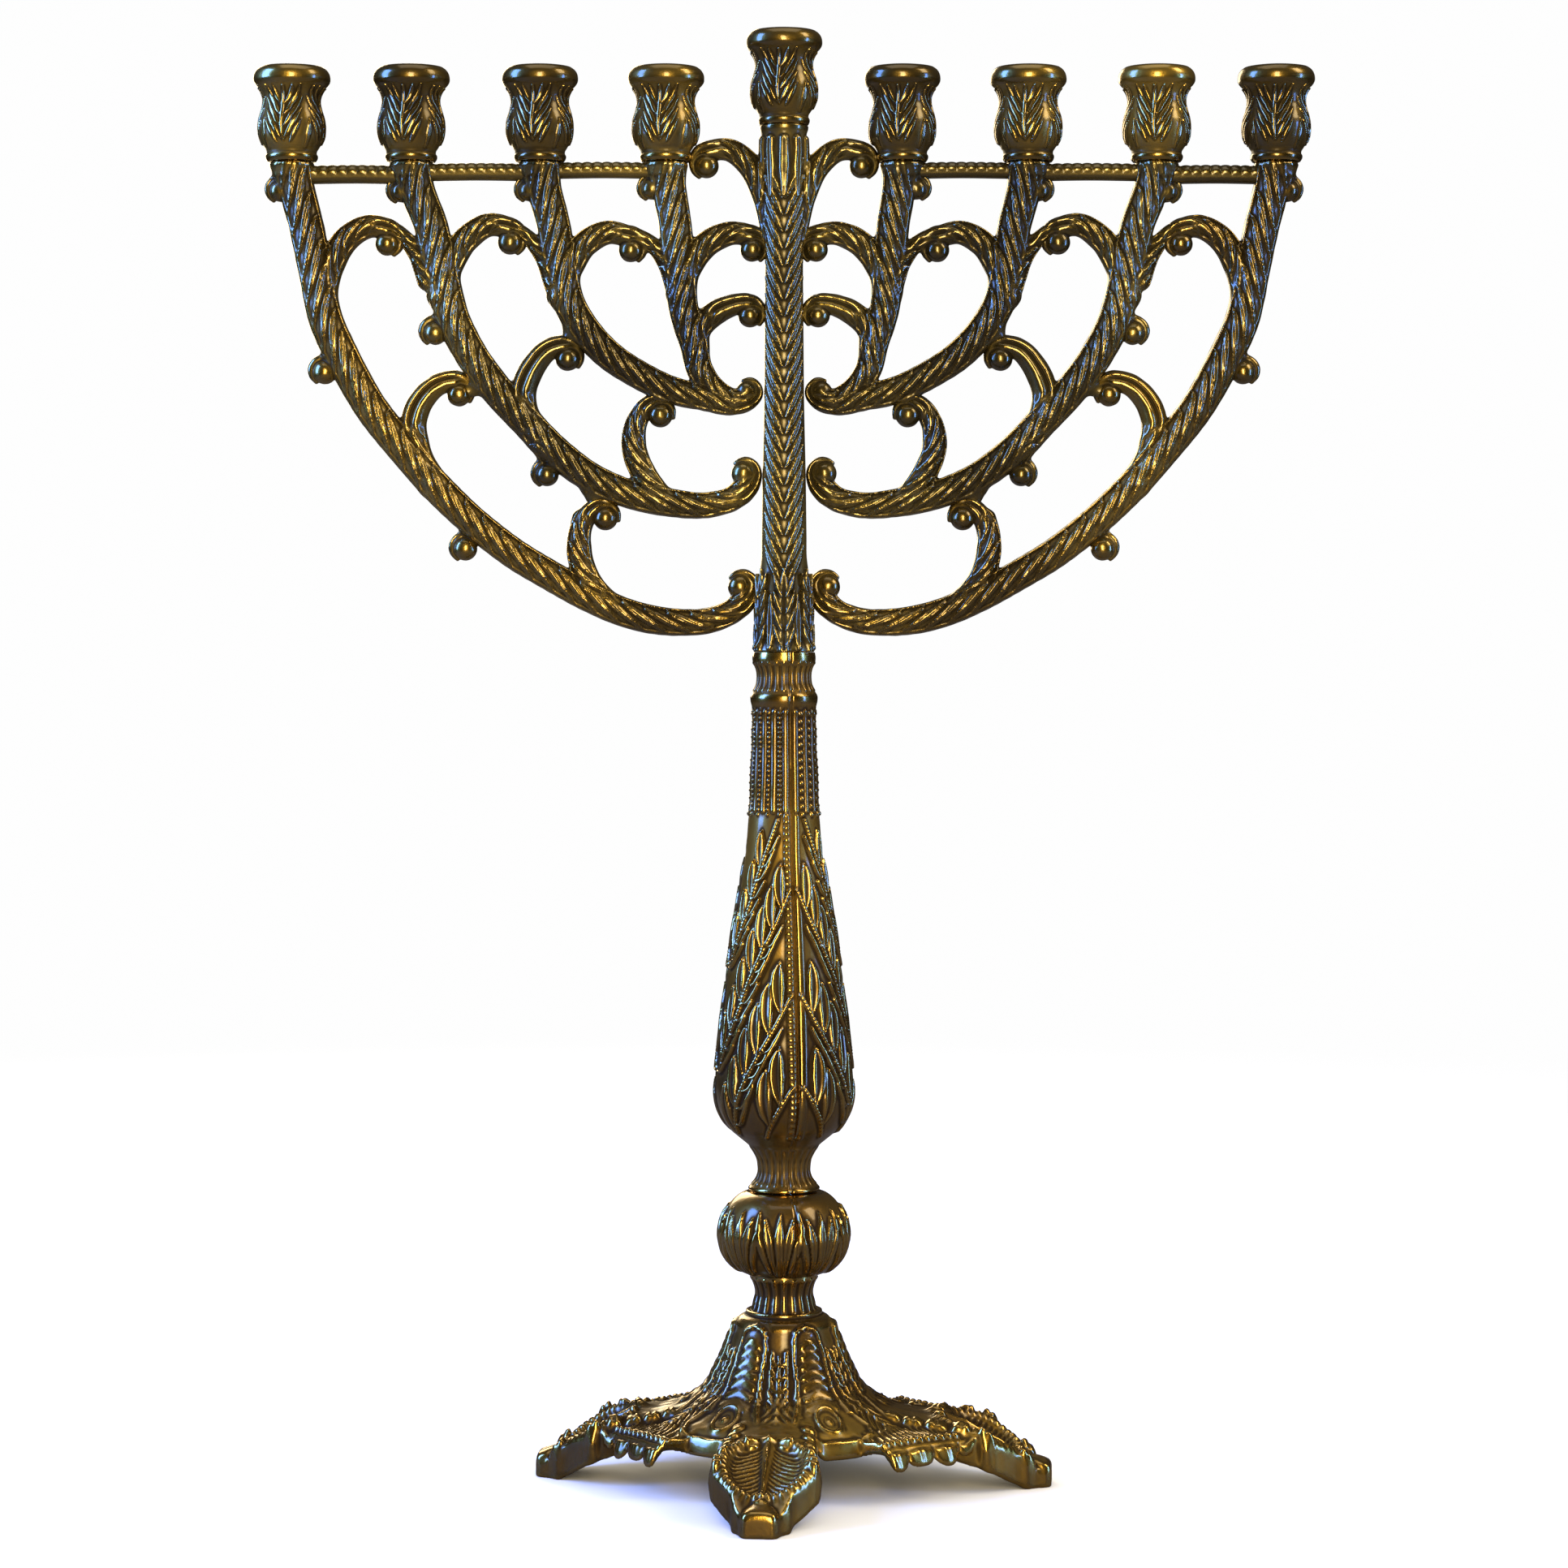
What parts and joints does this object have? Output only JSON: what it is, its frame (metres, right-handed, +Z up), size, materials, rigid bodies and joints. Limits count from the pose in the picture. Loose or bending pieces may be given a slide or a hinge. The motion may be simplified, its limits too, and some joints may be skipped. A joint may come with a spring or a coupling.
{
  "type": "menorah",
  "caption": "Cast brass table menorah: scroll arms with leaf-pattern candle cups on an ornate baluster stem and a footed bell base, for holding thin candles.",
  "frame": {"origin": "on the table, under the centre of the base", "axes": "+Z up, +X along the row of candle cups, the front faces -Y"},
  "size_m": [0.2782, 0.1354, 0.38],
  "materials": {
    "antique_brass": "cast antique brass with dark patina in the recesses",
    "olive_brass": "duller cast brass of the scroll arms, olive-brown patina",
    "cup_brass": "cast brass cups, rubbed bright at the rims",
    "steel": "plain steel rod, nut, washer and studs"
  },
  "bodies": {
    "base": {"base_casting": "antique_brass", "base_washer": "steel"},
    "spool": {"lower_spool": "antique_brass"},
    "knop": {"knop_left_half": "antique_brass", "knop_right_half": "antique_brass"},
    "baluster": {"baluster_left_half": "antique_brass", "baluster_right_half": "antique_brass"},
    "candelabrum": {"central_shaft": "olive_brass", "tie_rod": "steel", "cup_studs": "steel", "arm_left_outer": "olive_brass", "brace_bar_left_outer": "olive_brass", "arm_left_middle": "olive_brass", "brace_bar_left_middle": "olive_brass", "arm_left_inner": "olive_brass", "brace_bar_left_inner": "olive_brass", "arm_right_outer": "olive_brass", "brace_bar_right_outer": "olive_brass", "arm_right_middle": "olive_brass", "brace_bar_right_middle": "olive_brass", "arm_right_inner": "olive_brass", "brace_bar_right_inner": "olive_brass"},
    "nut": {"base_nut": "steel"},
    "cup_shamash_body": {"cup_shamash": "cup_brass"},
    "cup_left_1_body": {"cup_left_1": "cup_brass"},
    "cup_right_1_body": {"cup_right_1": "cup_brass"},
    "cup_left_2_body": {"cup_left_2": "cup_brass"},
    "cup_right_2_body": {"cup_right_2": "cup_brass"},
    "cup_left_3_body": {"cup_left_3": "cup_brass"},
    "cup_right_3_body": {"cup_right_3": "cup_brass"},
    "cup_left_4_body": {"cup_left_4": "cup_brass"},
    "cup_right_4_body": {"cup_right_4": "cup_brass"}
  },
  "joints": [
    {"name": "spool_turn", "type": "hinge", "parent": "base", "child": "spool", "pos_m": [0, 0, 0.0435], "axis": [0, 0, 1], "continuous": true},
    {"name": "knop_turn", "type": "hinge", "parent": "spool", "child": "knop", "pos_m": [0, 0, 0.054], "axis": [0, 0, 1], "continuous": true},
    {"name": "baluster_turn", "type": "hinge", "parent": "knop", "child": "baluster", "pos_m": [0, 0, 0.0756], "axis": [0, 0, 1], "continuous": true},
    {"name": "candelabrum_turn", "type": "hinge", "parent": "baluster", "child": "candelabrum", "pos_m": [0, 0, 0.2166], "axis": [0, 0, 1], "continuous": true},
    {"name": "base_nut_turn", "type": "hinge", "parent": "base", "child": "nut", "pos_m": [0, 0, 0.035], "axis": [0, 0, 1], "continuous": true},
    {"name": "cup_shamash_lift", "type": "slide", "parent": "candelabrum", "child": "cup_shamash_body", "axis": [0, 0, 1], "range_m": [0, 0.03]},
    {"name": "cup_left_1_lift", "type": "slide", "parent": "candelabrum", "child": "cup_left_1_body", "axis": [0, 0, 1], "range_m": [0, 0.03]},
    {"name": "cup_right_1_lift", "type": "slide", "parent": "candelabrum", "child": "cup_right_1_body", "axis": [0, 0, 1], "range_m": [0, 0.03]},
    {"name": "cup_left_2_lift", "type": "slide", "parent": "candelabrum", "child": "cup_left_2_body", "axis": [0, 0, 1], "range_m": [0, 0.03]},
    {"name": "cup_right_2_lift", "type": "slide", "parent": "candelabrum", "child": "cup_right_2_body", "axis": [0, 0, 1], "range_m": [0, 0.03]},
    {"name": "cup_left_3_lift", "type": "slide", "parent": "candelabrum", "child": "cup_left_3_body", "axis": [0, 0, 1], "range_m": [0, 0.03]},
    {"name": "cup_right_3_lift", "type": "slide", "parent": "candelabrum", "child": "cup_right_3_body", "axis": [0, 0, 1], "range_m": [0, 0.03]},
    {"name": "cup_left_4_lift", "type": "slide", "parent": "candelabrum", "child": "cup_left_4_body", "axis": [0, 0, 1], "range_m": [0, 0.03]},
    {"name": "cup_right_4_lift", "type": "slide", "parent": "candelabrum", "child": "cup_right_4_body", "axis": [0, 0, 1], "range_m": [0, 0.03]}
  ]
}
